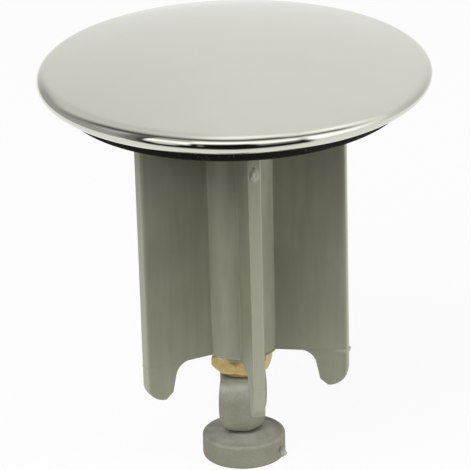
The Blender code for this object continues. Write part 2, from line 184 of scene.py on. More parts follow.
def blend(tree, share, under, over):
    """A colour between two, by a share that differs from place to place."""
    return add(tree, "ShaderNodeMix", {"Factor": share, "A": under, "B": over},
               data_type="RGBA").outputs["Result"]


def noise(tree, place, size, detail=2.0):
    """A soft random field between 0 and 1, with patches of about the size given."""
    return add(tree, "ShaderNodeTexNoise", {"Vector": place, "Scale": 1 / size,
                                            "Detail": detail}).outputs["Fac"]


def relief(tree, height, strength, depth):
    """The surface's normal, tilted as if the height given were cut to a depth."""
    return add(tree, "ShaderNodeBump", {"Height": height, "Strength": strength,
                                        "Distance": depth}).outputs["Normal"]


def new_material(name):
    """An empty node material, with its tree."""
    material = bpy.data.materials.new(name)
    material.use_nodes = True
    material.node_tree.nodes.clear()
    return material, material.node_tree


def coat(material, inputs):
    """Finish a material with a principled surface that has the inputs given."""
    shader = add(material.node_tree, "ShaderNodeBsdfPrincipled", inputs)
    add(material.node_tree, "ShaderNodeOutputMaterial", {"Surface": shader.outputs["BSDF"]})
    return material


def filled_plastic():
    """Mineral-filled polypropylene, injection moulded: dull grey-green, mottled, with a fine tooth.

    To the eye it gives no clear highlight, a broken pale speckle of filler at the skin, cloudy
    patches some millimetres wide, painted light that makes the grip's upper part and the foot's
    top paler, and white at the torn gate.
    """
    material, tree = new_material("filled_polypropylene_moulded_matt")
    place = add(tree, "ShaderNodeTexCoord").outputs["Object"]
    clouds = noise(tree, place, plastic_cloud, 3.0)
    filler = noise(tree, place, plastic_filler)
    colour = blend(tree, clouds, linear("#7A796A"), linear("#918F80"))
    colour = blend(tree, ramp(tree, filler, 0.56, 0.72, 0.0, 0.3), colour, linear("#A6A496"))
    level = add(tree, "ShaderNodeSeparateXYZ", {"Vector": place}).outputs["Z"]
    # Painted light: the grip's upper part, fading out just under the nut, and the foot's top are made
    # paler where less light reaches them.
    painted_light_on_grip = calculate(tree, "MULTIPLY", ramp(tree, level, *grip_painted_light_levels),
                        ramp(tree, level, *grip_painted_light_end_levels, 1.0, 0.0))
    painted_light_on_foot = calculate(tree, "MULTIPLY", ramp(tree, level, *foot_top_painted_light_levels, 0.0, 0.55),
                        calculate(tree, "LESS_THAN", level, foot_top_painted_light_end))
    painted_top_light = calculate(tree, "MULTIPLY", calculate(tree, "ADD", painted_light_on_grip, painted_light_on_foot),
                      ramp(tree, clouds, 0.3, 0.6, 0.25, 0.8))
    colour = blend(tree, painted_top_light, colour, linear("#B4B3A8"))
    torn = (foot_radius * math.cos(gate_azimuth), foot_radius * math.sin(gate_azimuth), gate_level)
    from_gate = add(tree, "ShaderNodeVectorMath", {0: place, 1: torn}, operation="DISTANCE")
    white = ramp(tree, from_gate.outputs["Value"], *gate_white_reaches, 0.8, 0.0)
    colour = blend(tree, white, colour, linear("#C6C5BB"))
    return coat(material, {"IOR": 1.49, "Base Color": colour,
                           "Roughness": ramp(tree, clouds, 0, 1, 0.62, 0.8),
                           "Normal": relief(tree, filler, 0.6, plastic_tooth)})


def finish(piece, body, slot, material, *nodes):
    """Give a finished piece its material and its body, and hide the CAD nodes that it stands for.
    The slot is not used.
    """
    piece.data.materials.clear()
    piece.data.materials.append(material)
    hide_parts(*nodes)
    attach(piece, body)


def turned_from(turns, azimuth, period=2 * np.pi):
    """How far each angle is from an azimuth that comes back once a period, the short way round."""
    return np.abs((turns - azimuth + period / 2) % period - period / 2)[None, :]


def widened(rings, growth):
    """The rings with each point's distance from the Z axis grown, though by less within 1 mm of it."""
    radius = np.hypot(rings[:, :, 0], rings[:, :, 1])
    rings[:, :, :2] *= (1 + growth / np.maximum(radius, MM))[:, :, None]
    return rings


def foot_rings():
    """Rings of the foot: its turned profile, with the torn gate and its pit as a change of radius.

    The top rises to its socket along half a cosine wave. The gate adds a blunt lump, the root
    of one wedge across times another up and down, and the pit takes away a bell.
    """
    floor = foot_top - socket_depth
    groove = socket_radius + socket_groove
    share = np.linspace(1, 0, COLLAR_STEPS)
    collar = np.stack((collar_radius + collar_slope * share,
                       foot_top + collar_height * (1 + np.cos(np.pi * share)) / 2), axis=1)
    profile = path(arc((foot_radius - foot_bottom_round, foot_bottom_round), foot_bottom_round,
                       -90, 0, ROUND_STEPS),
                   arc((foot_radius - foot_top_round, foot_top - foot_top_round), foot_top_round,
                       0, 90, ROUND_STEPS),
                   collar, (socket_radius, foot_top + collar_height),
                   (socket_radius, floor + socket_groove_height + socket_groove),
                   (groove, floor + socket_groove_height), (groove, floor), (0, floor))
    profile = path((0, 0), fine(profile, foot_row))
    even = np.linspace(0, 2 * np.pi, FOOT_COLUMNS, endpoint=False)
    near = np.linspace(pit_azimuth - gate_reach, gate_azimuth + gate_reach, GATE_COLUMNS) % (2 * np.pi)
    turns = np.unique(np.round(np.concatenate((even, near)), 6))
    rings = turned(profile, turns)
    level = rings[:, :, 2]
    side = np.hypot(rings[:, :, 0], rings[:, :, 1]) > foot_radius - foot_bottom_round
    from_gate = turned_from(turns, gate_azimuth) * foot_radius
    from_pit = turned_from(turns, pit_azimuth) * foot_radius
    wedge = np.clip(1 - from_gate / gate_half_width, 0, 1)
    wedge = wedge * np.clip(1 - np.abs(level - gate_level) / gate_half_height, 0, 1)
    pit = np.exp(-(from_pit ** 2 + (level - pit_level) ** 2) / pit_radius ** 2)
    return widened(rings, np.where(side, gate_proud * np.sqrt(wedge) - pit_depth * pit, 0.0))


plastic = filled_plastic()
finish(skin("foot_disc_moulded", foot_rings()), "foot", "screw_plastic", plastic, "foot_disc")

# Finger grip: moulded in the same plastic round the brass screw's lower end. Its core swells
# like a barrel between two thin tabs that the fingers turn, and a neck below it carries
# the bead that snaps into the foot.
grip_low, grip_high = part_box("screw_grip")
grip_top = grip_high.z
grip_height = 10.75 * MM
grip_bottom = grip_top - grip_height
neck_radius = 1.7 * MM
bead_proud = 0.3 * MM
bead_height = 0.8 * MM
grip_core = 3.7 * MM
grip_half_width = 6.0 * MM
grip_end_half_width = 5.3 * MM
grip_tab = 1.0 * MM
grip_base = 2.8 * MM
grip_base_round = 2.5 * MM
grip_top_round = 0.45 * MM
grip_turn = math.radians(-142.0)
grip_recess_radius = 3.1 * MM
grip_recess_depth = 8.6 * MM
GRIP_COLUMNS = 192
BEAD_ROWS = 9
BARREL_ROW_SHARES = np.concatenate((np.linspace(0.005, 0.26, 18), np.linspace(0.29, 0.95, 30)))
BELL_POWER = 4
TAB_FULLNESS = 4
ROUND_FULLNESS = 2


def grip_ring(level, half_width, core, tab, fullness):
    """One ring round the grip: across at x, half the thickness is the tab's plus a bell to the core's.

    The ends are closed by a superellipse of the fullness given, and a round ring has no bell.
    """
    turn = np.linspace(0, 2 * np.pi, GRIP_COLUMNS, endpoint=False)
    share = np.cos(turn)
    closing = np.clip(1 - np.abs(share) ** fullness, 0, None) ** (1 / fullness)
    bell = np.exp(-(share * half_width / core) ** BELL_POWER) if fullness > ROUND_FULLNESS else 1.0
    thickness = closing * (tab + (core - tab) * bell) * np.where(np.sin(turn) < 0, -1, 1)
    x, y = share * half_width, thickness
    return np.stack((x * math.cos(grip_turn) - y * math.sin(grip_turn),
                     x * math.sin(grip_turn) + y * math.cos(grip_turn), np.full_like(x, level)), axis=1)


def round_ring(level, radius):
    """One round ring, of the neck or of the recess."""
    return grip_ring(level, radius, radius, radius, ROUND_FULLNESS)


def grip_rings():
    """Rings from the neck's end over its bead, up the barrel and down into the screw's recess."""
    rings = []
    for share in np.linspace(0, 1, BEAD_ROWS):
        bulge = bead_proud * math.sin(math.pi * share)
        rings.append(round_ring(grip_low.z + bead_height * share, neck_radius + bulge))
    rings += [round_ring(grip_bottom, neck_radius), round_ring(grip_bottom, grip_base)]
    middle = (grip_bottom + grip_top) / 2
    for level in grip_bottom + BARREL_ROW_SHARES * grip_height:
        off_middle = (level - middle) / (grip_height / 2)
        barrel = grip_half_width - (grip_half_width - grip_end_half_width) * off_middle ** 2
        swell = math.sqrt(1 - (1 - min(1.0, (level - grip_bottom) / grip_base_round)) ** 2)
        rings.append(grip_ring(level, grip_base + (barrel - grip_base) * swell,
                               grip_base + (grip_core - grip_base) * swell, grip_tab, TAB_FULLNESS))
    for turn in np.radians(np.linspace(0, 90, ROUND_STEPS)):
        inset = grip_top_round * (1 - math.cos(turn))
        level = grip_top - grip_top_round * (1 - math.sin(turn))
        rings.append(grip_ring(level, grip_end_half_width - inset, grip_core - inset, grip_tab - inset,
                               TAB_FULLNESS))
    rings += [round_ring(grip_top, grip_recess_radius),
              round_ring(grip_top - grip_recess_depth, grip_recess_radius)]
    return np.array(rings)


finish(skin("screw_grip_moulded", grip_rings(), capped=True), "screw", "screw_plastic", plastic,
       "screw_grip")

# Adjusting screw: a brass M6 stud with a rolled right-hand thread, 1 mm from turn to turn.
# Its lower end is moulded into the grip, and the rest turns up into the hub.
screw_low, screw_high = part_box("adjusting_screw")
thread_radius = screw_high.x
thread_pitch = 1.0 * MM
thread_depth = 0.58 * MM
thread_chamfer = 0.6 * MM
nut_low, nut_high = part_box("lock_nut")
nut_highlight_depths = (0.9 * MM, 0.6 * MM)
tarnish_size = 1.4 * MM
lathe_mark = 0.14 * MM
lathe_mark_depth = 0.02 * MM
THREAD_COLUMNS = 72
THREAD_ROWS_PER_TURN = 12
THREAD_CREST_SHARE = 0.125
THREAD_FLANK_SHARE = 0.8


def around(radius, turn, level):
    """Rings with a radius of their own at every angle and level."""
    return np.stack((radius * np.cos(turn), radius * np.sin(turn), np.broadcast_to(level, radius.shape)),
                    axis=2)


def turned_brass():
    """Free-cutting brass, turned and left bare: golden, dulled by handling, with fine lathe marks.

    To the eye it gives a soft metallic sheen, streaks round the axis a tenth of a millimetre
    apart, browner patches where it has begun to tarnish, and a painted highlight, pale and less
    metallic, on the nut's top.
    """
    material, tree = new_material("brass_turned_tarnished")
    place = add(tree, "ShaderNodeTexCoord").outputs["Object"]
    tarnish = noise(tree, place, tarnish_size, 4.0)
    level = add(tree, "ShaderNodeSeparateXYZ", {"Vector": place}).outputs["Z"]
    # Painted highlight: a band at the nut's top is made pale and less metallic, as if it caught the light.
    painted_nut_highlight = ramp(tree, level, *(nut_high.z - depth for depth in nut_highlight_depths), 0.0, 0.75)
    colour = blend(tree, tarnish, linear("#D2C08E"), linear("#AE9054"))
    colour = blend(tree, painted_nut_highlight, colour, linear("#E2DAC2"))
    along = add(tree, "ShaderNodeMapping",
                {"Vector": place, "Scale": (0.08, 0.08, 1.0)}).outputs["Vector"]
    return coat(material, {"Base Color": colour, "Metallic": ramp(tree, painted_nut_highlight, 0, 1, 1.0, 0.3),
                           "Roughness": ramp(tree, tarnish, 0, 1, 0.3, 0.55),
                           "Normal": relief(tree, noise(tree, along, lathe_mark), 0.35, lathe_mark_depth)})


def thread_rings():
    """Rings of a right-hand thread: a turns round at level z, the groove's depth follows z - pitch * a.

    The groove is a vee between flat crests an eighth of the pitch wide, its root a narrow flat,
    and the radius is never more than that of the cones at both ends.
    """
    rows = int((screw_high.z - screw_low.z) / thread_pitch * THREAD_ROWS_PER_TURN)
    level = np.linspace(screw_low.z, screw_high.z, rows)[:, None]
    turn = np.linspace(0, 2 * np.pi, THREAD_COLUMNS, endpoint=False)[None, :]
    phase = (level / thread_pitch - turn / (2 * np.pi)) % 1.0
    vee = 1 - np.abs(2 * phase - 1)
    groove = np.clip((vee - THREAD_CREST_SHARE) / THREAD_FLANK_SHARE, 0, 1)
    radius = thread_radius - thread_depth * groove
    end = np.minimum(level - screw_low.z, screw_high.z - level)
    radius = np.minimum(radius, thread_radius - thread_chamfer + end)
    return around(radius, turn, level)


brass = turned_brass()
finish(skin("adjusting_screw_threaded", thread_rings(), capped=True), "screw", "brass", brass,
       "adjusting_screw")

# Lock nut: a plain brass hexagon nut, 10 mm across its flats, turned up against the hub so
# that the screw stays where it was set. Both faces are coned off by the lathe.
nut_flats = 10.0 * MM
nut_face_radius = 4.5 * MM
nut_turn = math.radians(-112.6)
nut_bore = 3.1 * MM
nut_bore_chamfer = 0.3 * MM
nut_edge = 0.07 * MM
NUT_COLUMNS = 288
NUT_ROWS = 48


def nut_rings():
    """Rings of a hexagon nut: the radius is the least of the six flats and the cones at both faces.

    The least is taken softly, so that each edge is rounded by about the edge size, and the bore
    runs back down the middle.
    """
    turn = np.linspace(0, 2 * np.pi, NUT_COLUMNS, endpoint=False)[None, :]
    level = np.linspace(nut_low.z, nut_high.z, NUT_ROWS)[:, None]
    facing = (turn - nut_turn) % (np.pi / 3) - np.pi / 6
    flats = nut_flats / 2 / np.cos(facing) + 0 * level
    below = nut_face_radius + (level - nut_low.z) + 0 * turn
    above = nut_face_radius + (nut_high.z - level) + 0 * turn
    sizes = np.stack((flats, below, above))
    radius = -nut_edge * np.log(np.exp(-(sizes - sizes.min(0)) / nut_edge).sum(0)) + sizes.min(0)
    bore = path((nut_bore + nut_bore_chamfer, nut_high.z), (nut_bore, nut_high.z - nut_bore_chamfer),
                (nut_bore, nut_low.z + nut_bore_chamfer), (nut_bore + nut_bore_chamfer, nut_low.z))
    return np.concatenate((around(radius, turn, level), turned(bore, turn[0])))


finish(skin("lock_nut_turned", nut_rings(), looped=True), "nut", "brass", brass, "lock_nut")

# Guide body: one injection moulding of hub, five wings, plate and flange. The wings keep the
# plug upright in the waste and its legs reach past the nut. The two halves of the mould met
# just above the hub's end, where a thin line of flash runs round every wing.
body_low, body_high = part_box("guide_body")
seal_low, seal_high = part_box("seal_ring")
seat_gap = 0.3 * MM
hub_bottom = nut_high.z + seat_gap
plate_bottom = seal_high.z + seat_gap
plate_thickness = 1.6 * MM
plate_radius = body_high.x
plate_edge_round = 0.3 * MM
hub_bottom_radius = 6.35 * MM
hub_top_radius = 6.75 * MM
hub_lip = 0.2 * MM
hub_collar_proud = 0.2 * MM
hub_collar_bevel = 0.25 * MM
hub_bore = 3.1 * MM
hub_bore_mouth = 0.4 * MM
hub_bore_top = 51.3 * MM
groove_radius = 22.6 * MM
groove_wall = 1.6 * MM
groove_depth = 1.5 * MM
groove_floor = seal_high.z - groove_depth
flange_radius = 25.2 * MM
flange_thickness = 1.5 * MM
boss_radius = 7.6 * MM
boss_top = body_high.z
stud_socket = 4.1 * MM
stud_socket_depth = 13.3 * MM
socket_floor = boss_top - stud_socket_depth
root_fillet = 0.15 * MM
root_sink = 0.01 * MM
WING_COUNT = 5
wing_top_radius = 19.75 * MM
wing_bottom_radius = 19.5 * MM
wing_top_half = 1.175 * MM
wing_bottom_half = 1.025 * MM
wing_edge = 0.3 * MM
wing_root = 4.7 * MM
notch_rise = 0.02 * MM
notch_ceiling = hub_bottom + notch_rise
notch_fillet = 2.9 * MM
leg_inner = 13.2 * MM
leg_lean = 1.15 * MM
leg_round = 3.7 * MM
leg_tip = body_low.z
leg_tip_chamfer = 1.2 * MM
flash_level = 21.53 * MM
flash_half_height = 0.13 * MM
flash_proud = 0.07 * MM
flash_edge_proud = (0.07 * MM, 0.34 * MM, 0.12 * MM, 0.1 * MM, 0.1 * MM)
flash_highlight_reach = 3.2 * MM
flash_squeeze = 8.0
gate_mark_level = 62.4 * MM
gate_mark_half = (0.6 * MM, 0.4 * MM, 1.5 * MM)
gate_mark_wave_share = 0.9
mark_white_reach = 2.2 * MM
hub_row = 1.5 * MM
satin_cloud = 9 * MM
satin_flow = 1.6 * MM
satin_grain = 0.22 * MM
satin_tooth = 0.02 * MM
ROOT_COLUMNS = 16
BETWEEN_COLUMNS = 9
NOTCH_STEPS = 16
LEG_STEPS = 24
EDGE_STEPS = 6
LUMP_ROWS = 18
LUMP_COLUMNS = 28
LUMP_SEED = 3
LUMP_WAVES = (2, 3, 4, 5)
FLASH_RISE_SHARES = (-1, -0.3, 0.3, 1)
FLASH_PROUD_SHARES = (-0.4, 1.0, 1.0, -0.4)


def satin_plastic():
    """Acetal, injection moulded in a fine-eroded tool: grey-green with a soft satin sheen.

    To the eye it gives broad dim highlights, a barely grainy skin, faint streaks where the
    plastic flowed along the wings, slightly cloudy colour, and paler places: painted light on the
    wings' outer edges, the strained plastic round the gate, and a painted highlight on the flash
    at the outer end of the second wing.
    """
    material, tree = new_material("acetal_moulded_satin")
    place = add(tree, "ShaderNodeTexCoord").outputs["Object"]
    clouds = noise(tree, place, satin_cloud, 3.0)
    along = add(tree, "ShaderNodeMapping",
                {"Vector": place, "Scale": (1.0, 1.0, 0.12)}).outputs["Vector"]
    flow = noise(tree, along, satin_flow)
    cloudy = ramp(tree, calculate(tree, "MULTIPLY", clouds, flow), 0.12, 0.4)
    colour = blend(tree, cloudy, linear("#8C8D7B"), linear("#989986"))
    from_axis = add(tree, "ShaderNodeVectorMath", {0: place, 1: (1.0, 1.0, 0.0)}, operation="MULTIPLY")
    radius = add(tree, "ShaderNodeVectorMath", {0: from_axis.outputs["Vector"]}, operation="LENGTH")
    # Painted light: the wings' outer edges are made paler, as if lit more strongly.
    edge = ramp(tree, radius.outputs["Value"], wing_bottom_radius - 2 * wing_edge,
                wing_bottom_radius - wing_edge / 2, 0.0, 0.8)
    colour = blend(tree, edge, colour, linear("#AAAB97"))
    gate_spot = (0, -wing_top_radius, gate_mark_level)
    from_gate = add(tree, "ShaderNodeVectorMath", {0: place, 1: gate_spot}, operation="DISTANCE")
    strained = ramp(tree, from_gate.outputs["Value"], 0, mark_white_reach, 0.75, 0.0)
    # Painted highlight: the flash near the outer end of the second wing is made pale, as if it caught the
    # light.
    flash_side = 2 * math.pi / WING_COUNT - math.pi / 2
    flash_end = (wing_bottom_radius * math.cos(flash_side), wing_bottom_radius * math.sin(flash_side),
                 flash_level * flash_squeeze)
    squeezed = add(tree, "ShaderNodeVectorMath", {0: place, 1: (1.0, 1.0, flash_squeeze)},
                   operation="MULTIPLY").outputs["Vector"]
    from_flash = add(tree, "ShaderNodeVectorMath", {0: squeezed, 1: flash_end}, operation="DISTANCE")
    painted_flash_highlight = ramp(tree, from_flash.outputs["Value"], 0, flash_highlight_reach, 1.0, 0.0)
    # One pale colour serves both the real whitening round the gate and the painted highlight on the flash.
    colour = blend(tree, calculate(tree, "MAXIMUM", strained, painted_flash_highlight), colour, linear("#C9C8B8"))
    return coat(material, {"IOR": 1.48, "Base Color": colour,
                           "Roughness": ramp(tree, flow, 0, 1, 0.38, 0.52),
                           "Normal": relief(tree, noise(tree, place, satin_grain), 0.3, satin_tooth)})


def up_the_wing(level):
    """Share of the way up from the legs' tips to the plate, on which the wings' draft depends."""
    return np.clip((level - leg_tip) / (plate_bottom - leg_tip), 0, 1)


def wing_half(level):
    """Half a wing's thickness at a level: it thins evenly from the plate down to the leg's tip."""
    return wing_bottom_half + (wing_top_half - wing_bottom_half) * up_the_wing(level)


def wing_reach(level):
    """Radius of a wing's outer edge at a level, above the round of its leg."""
    return wing_bottom_radius + (wing_top_radius - wing_bottom_radius) * up_the_wing(level)


def hub_rings():
    """Rings of hub, plate and flange, with a fillet on the hub beside each wing.

    Beside a wing, d away from its middle plane, the hub's radius grows along a quarter circle
    that starts one fillet from the wing's side and ends upright at it. Under the plate it grows
    the same way with the height.
    """
    step = 2 * np.pi / WING_COUNT
    reach = (wing_top_half + root_fillet) / hub_bottom_radius
    close = np.linspace(wing_bottom_half / 2 / hub_bottom_radius, reach, ROOT_COLUMNS)
    far = np.linspace(reach, step / 2, BETWEEN_COLUMNS)[1:]
    half = np.concatenate((close, far))
    sector = np.concatenate(([0.0], half, step - half[::-1][1:]))
    turns = (np.arange(WING_COUNT)[:, None] * step + sector[None, :]).ravel() - np.pi / 2
    collar = hub_bottom_radius + hub_collar_proud
    collar_end = (hub_bottom_radius, flash_level + hub_collar_bevel)
    outer = fine(path(collar_end, (hub_top_radius, plate_bottom)), hub_row)
    profile = path((0, hub_bore_top), (hub_bore, hub_bore_top), (hub_bore, hub_bottom + hub_bore_mouth),
                   (hub_bore + hub_bore_mouth, hub_bottom),
                   arc((collar - hub_lip, hub_bottom + hub_lip), hub_lip, -90, 0, ROUND_STEPS),
                   (collar, flash_level), outer[:-1],
                   arc((hub_top_radius + root_fillet, plate_bottom - root_fillet), root_fillet,
                       180, 90, ROUND_STEPS))
    flange_bottom = groove_floor - flange_thickness
    plate_top = plate_bottom + plate_thickness
    edge = plate_edge_round
    inner = groove_radius - groove_wall
    rim = path((inner, plate_bottom), (inner, flange_bottom + edge),
               arc((inner + edge, flange_bottom + edge), edge, 180, 270, ROUND_STEPS),
               arc((flange_radius - edge, flange_bottom + edge), edge, -90, 0, ROUND_STEPS),
               arc((flange_radius - edge, groove_floor - edge), edge, 0, 90, ROUND_STEPS),
               (groove_radius, groove_floor), (groove_radius, plate_bottom),
               arc((plate_radius - edge, plate_bottom + edge), edge, -90, 0, ROUND_STEPS),
               arc((plate_radius - edge, plate_top - edge), edge, 0, 90, ROUND_STEPS),
               (boss_radius, plate_top), (boss_radius, boss_top),
               (stud_socket, boss_top), (stud_socket, socket_floor), (0, socket_floor))
    rings = turned(path(profile, rim), turns)
    radius = np.hypot(rings[:, :, 0], rings[:, :, 1])
    level = rings[:, :, 2]
    side = np.arange(len(rings))[:, None] < len(profile)
    side = side & (level > hub_bottom + hub_lip / 2) & (radius > hub_bottom_radius - hub_lip)
    aside = radius * np.sin(np.minimum(turned_from(turns, -np.pi / 2, step), np.pi / 2))
    into = np.clip(wing_half(level) - root_sink + root_fillet - aside, 0, root_fillet)
    swell = root_fillet - np.sqrt(root_fillet ** 2 - into ** 2)
    return widened(rings, np.where(side, np.maximum(swell - (radius - hub_top_radius).clip(0), 0), 0))


def wing_outline():
    """Outline (r, z) of a wing: along the notch, round its leg, up its outer edge and back on top.

    The leg's inner side leans outwards on its way down, and the fillet meets it without a corner.
    """
    lean = math.atan2(leg_lean, notch_ceiling - leg_tip - leg_tip_chamfer)
    centre = (leg_inner - notch_fillet * (1 / math.cos(lean) - math.tan(lean)),
              notch_ceiling - notch_fillet)
    tip_radius = wing_bottom_radius - leg_round
    top = plate_bottom + plate_thickness / 2
    return path((wing_root, notch_ceiling),
                arc(centre, notch_fillet, 90, math.degrees(lean), NOTCH_STEPS),
                (leg_inner + leg_lean, leg_tip + leg_tip_chamfer),
                arc((tip_radius, leg_tip + leg_round), leg_round, -90, 0, LEG_STEPS),
                (wing_top_radius, top), (wing_root, top))


def wing_rings():
    """Rings over a wing from side to side: its outline, drawn in round both edges of its thickness."""
    outline = wing_outline()
    before = outline - np.roll(outline, 1, 0)
    after = np.roll(outline, -1, 0) - outline
    before /= np.hypot(*before.T)[:, None]
    after /= np.hypot(*after.T)[:, None]
    along = before + after
    along /= np.hypot(*along.T)[:, None]
    outward = np.stack((along[:, 1], -along[:, 0]), axis=1)
    outward /= (before * along).sum(1)[:, None].clip(0.5)
    lean = np.radians(np.concatenate((np.linspace(-90, 0, EDGE_STEPS),
                                      np.linspace(0, 90, EDGE_STEPS))))
    side = np.repeat((-1, 1), EDGE_STEPS)
    rings = []
    for angle, face in zip(lean, side):
        shape = outline - outward * wing_edge * (1 - math.cos(angle))
        across = face * (wing_half(shape[:, 1]) - wing_edge) + wing_edge * math.sin(angle)
        rings.append(np.stack((shape[:, 0], across, shape[:, 1]), axis=1))
    return np.array(rings)


def flash_rings(edge_proud):
    """Rings of the flash line: the wing's section at the parting level, a hair proud and then back."""
    half = wing_half(flash_level)
    reach = wing_reach(flash_level)
    corner = arc((reach - wing_edge, half - wing_edge), wing_edge, 90, 0, EDGE_STEPS)
    loop = path((wing_root, half), corner, corner[::-1] * (1, -1), (wing_root, -half))
    edge_band = 3 * wing_edge
    share = np.clip((loop[:, 0] - (reach - edge_band)) / edge_band, 0, 1)
    proud = flash_proud + (edge_proud - flash_proud) * share
    outward = np.stack((share, np.sign(loop[:, 1]) * (1 - share) + 0), axis=1)
    rings = []
    for rise, out in zip(FLASH_RISE_SHARES, FLASH_PROUD_SHARES):
        spot = loop + outward * (proud * out if out > 0 else flash_proud * out + 0 * proud)[:, None]
        level = flash_level + rise * flash_half_height
        rings.append(np.column_stack((spot, np.full(len(spot), level))))
    return np.array(rings)


def lump_rings(centre, half, wave_share, seed):
    """Rings of a small rough lump: an egg whose radius varies by a few seeded waves."""
    rise = np.linspace(-np.pi / 2, np.pi / 2, LUMP_ROWS)[:, None]
    turn = np.linspace(0, 2 * np.pi, LUMP_COLUMNS, endpoint=False)[None, :]
    random = np.random.default_rng(seed)
    swell = np.ones((LUMP_ROWS, LUMP_COLUMNS))
    for wave in LUMP_WAVES:
        start, tilt = random.uniform(0, 2 * np.pi, 2)
        swell += (wave_share / wave * np.cos(rise) * np.sin(wave * turn + start)
                  * np.cos(wave * rise + tilt))
    return np.stack((centre[0] + half[0] * swell * np.cos(rise) * np.cos(turn),
                     centre[1] + half[1] * swell * np.cos(rise) * np.sin(turn),
                     centre[2] + half[2] * np.sin(rise) + 0 * turn), axis=2)


def swung(rings, turn):
    """The same rings, swung about the Z axis."""
    x, y, z = np.moveaxis(rings, 2, 0)
    return np.stack((x * math.cos(turn) - y * math.sin(turn),
                     x * math.sin(turn) + y * math.cos(turn), z), axis=2)


def unite(piece, additions):
    """Fuse closed additions into a piece with exact Booleans, and keep only the result."""
    for addition in additions:
        fuse = piece.modifiers.new(addition.name, "BOOLEAN")
        fuse.operation = "UNION"
        fuse.solver = "EXACT"
        fuse.object = addition
    bpy.context.view_layer.update()
    united = piece.evaluated_get(bpy.context.evaluated_depsgraph_get())
    mesh = bpy.data.meshes.new_from_object(united)
    piece.modifiers.clear()
    piece.data = mesh
    mesh.shade_smooth()
    mesh.set_sharp_from_angle(angle=SHARP_ANGLE)
    for addition in additions:
        bpy.data.objects.remove(addition)
    return piece


guide = skin("guide_body_moulded", hub_rings())
grown = []
for number in range(WING_COUNT):
    swing = 2 * math.pi * number / WING_COUNT - math.pi / 2
    grown.append(skin(f"wing_{number + 1}", swung(wing_rings(), swing), capped=True))
    flash = flash_rings(flash_edge_proud[number])
    grown.append(skin(f"flash_{number + 1}", swung(flash, swing), capped=True))
gate_spot = (0, -wing_reach(gate_mark_level), gate_mark_level)
gate_mark = lump_rings(gate_spot, gate_mark_half, gate_mark_wave_share, LUMP_SEED)
grown.append(skin("gate_mark", gate_mark))
unite(guide, grown)
even = guide.modifiers.new("even shading", "WEIGHTED_NORMAL")
even.keep_sharp = True
finish(guide, "plug", "body_plastic", satin_plastic(), "guide_body")

# Sealing ring: black rubber, moulded, with a thin inner lip stretched into the groove of the
# guide body. It lies flat under the cap and closes the drain's seat.
seal_radius = seal_high.x
seal_inner = flange_radius + seat_gap
seal_lip_inner = groove_radius + seat_gap
seal_lip_thickness = 1.2 * MM
seal_edge_round = 0.4 * MM
seal_top_round = 0.2 * MM
rubber_dust = 0.45 * MM
rubber_grain = 0.3 * MM
rubber_tooth = 0.06 * MM
SEAL_COLUMNS = 256


def moulded_rubber():
    """Nitrile rubber, press moulded: near black and matt, with fine tooth and grey dust in it.

    To the eye it gives a deep dull black edge with a broken grey glint along its corners
    and tiny pale specks of bloom.
    """
    material, tree = new_material("nitrile_rubber_moulded")
    place = add(tree, "ShaderNodeTexCoord").outputs["Object"]
    specks = ramp(tree, noise(tree, place, rubber_dust, 3.0), 0.6, 0.7, 0.0, 0.4)
    return coat(material, {"IOR": 1.52, "Roughness": 0.72, "Specular IOR Level": 0.2,
                           "Base Color": blend(tree, specks, linear("#14140F"), linear("#6A6A60")),
                           "Normal": relief(tree, noise(tree, place, rubber_grain), 0.6, rubber_tooth)})


def seal_rings():
    """Rings of the rubber ring: a flat band with soft corners and a thin lip on its inner side."""
    lip_bottom = seal_high.z - seal_lip_thickness
    profile = path((seal_inner, seal_low.z),
                   arc((seal_radius - seal_edge_round, seal_low.z + seal_edge_round), seal_edge_round,
                       -90, 0, ROUND_STEPS),
                   arc((seal_radius - seal_top_round, seal_high.z - seal_top_round), seal_top_round,
                       0, 90, ROUND_STEPS),
                   (seal_lip_inner, seal_high.z), (seal_lip_inner, lip_bottom), (seal_inner, lip_bottom))
    return turned(profile, np.linspace(0, 2 * np.pi, SEAL_COLUMNS, endpoint=False))


finish(skin("seal_ring_moulded", seal_rings(), looped=True), "plug", "rubber", moulded_rubber(),
       "seal_ring")

# Stud of the cap: a brass pin with a broad head, soldered under the dome and screwed down into
# the guide body. It is hidden once the plug is together, and its turned solid is shown as it is.
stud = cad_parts["cap_stud"]
stud.data.materials.clear()
stud.data.materials.append(brass)

# Cap: a disc of brass sheet pressed to a shallow dome, its edge rolled down and under on an
# oval, then polished and plated with nickel and chrome.
cap_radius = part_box("cap")[1].x
cap_wall = 0.8 * MM
roll_half_width = 2.95 * MM
roll_half_height = 2.15 * MM
dome_edge_normal = 75.5
roll_end_normal = -100.0
roll_level = plate_bottom + roll_half_height
wheel_haze = 6 * MM
CAP_COLUMNS = 360
DOME_ROWS = 60
ROLL_ROWS = 72


def chrome_plate():
    """Bright chrome over nickel, polished: a slightly warm mirror with a trace of haze.

    To the eye it gives the light and dark of the room with clear edges, and a faint
    unevenness a few millimetres wide from the polishing wheel.
    """
    material, tree = new_material("chrome_plate_polished")
    place = add(tree, "ShaderNodeTexCoord").outputs["Object"]
    wheel = noise(tree, place, wheel_haze)
    return coat(material, {"Metallic": 1.0, "Roughness": ramp(tree, wheel, 0, 1, 0.04, 0.08),
                           "Base Color": blend(tree, wheel, linear("#D3D3C8"), linear("#D6D6CC"))})


def roll_profile(start, end, inset, rows):
    """Points of the rolled edge, an oval, between two angles that its surface faces, moved inwards."""
    facing = np.radians(np.linspace(start, end, rows + 1))
    across = roll_half_width * np.cos(facing)
    upward = roll_half_height * np.sin(facing)
    reach = np.hypot(across, upward)
    middle = cap_radius - roll_half_width
    return np.stack((middle + roll_half_width * across / reach - inset * np.cos(facing),
                     roll_level + roll_half_height * upward / reach - inset * np.sin(facing)), axis=1)


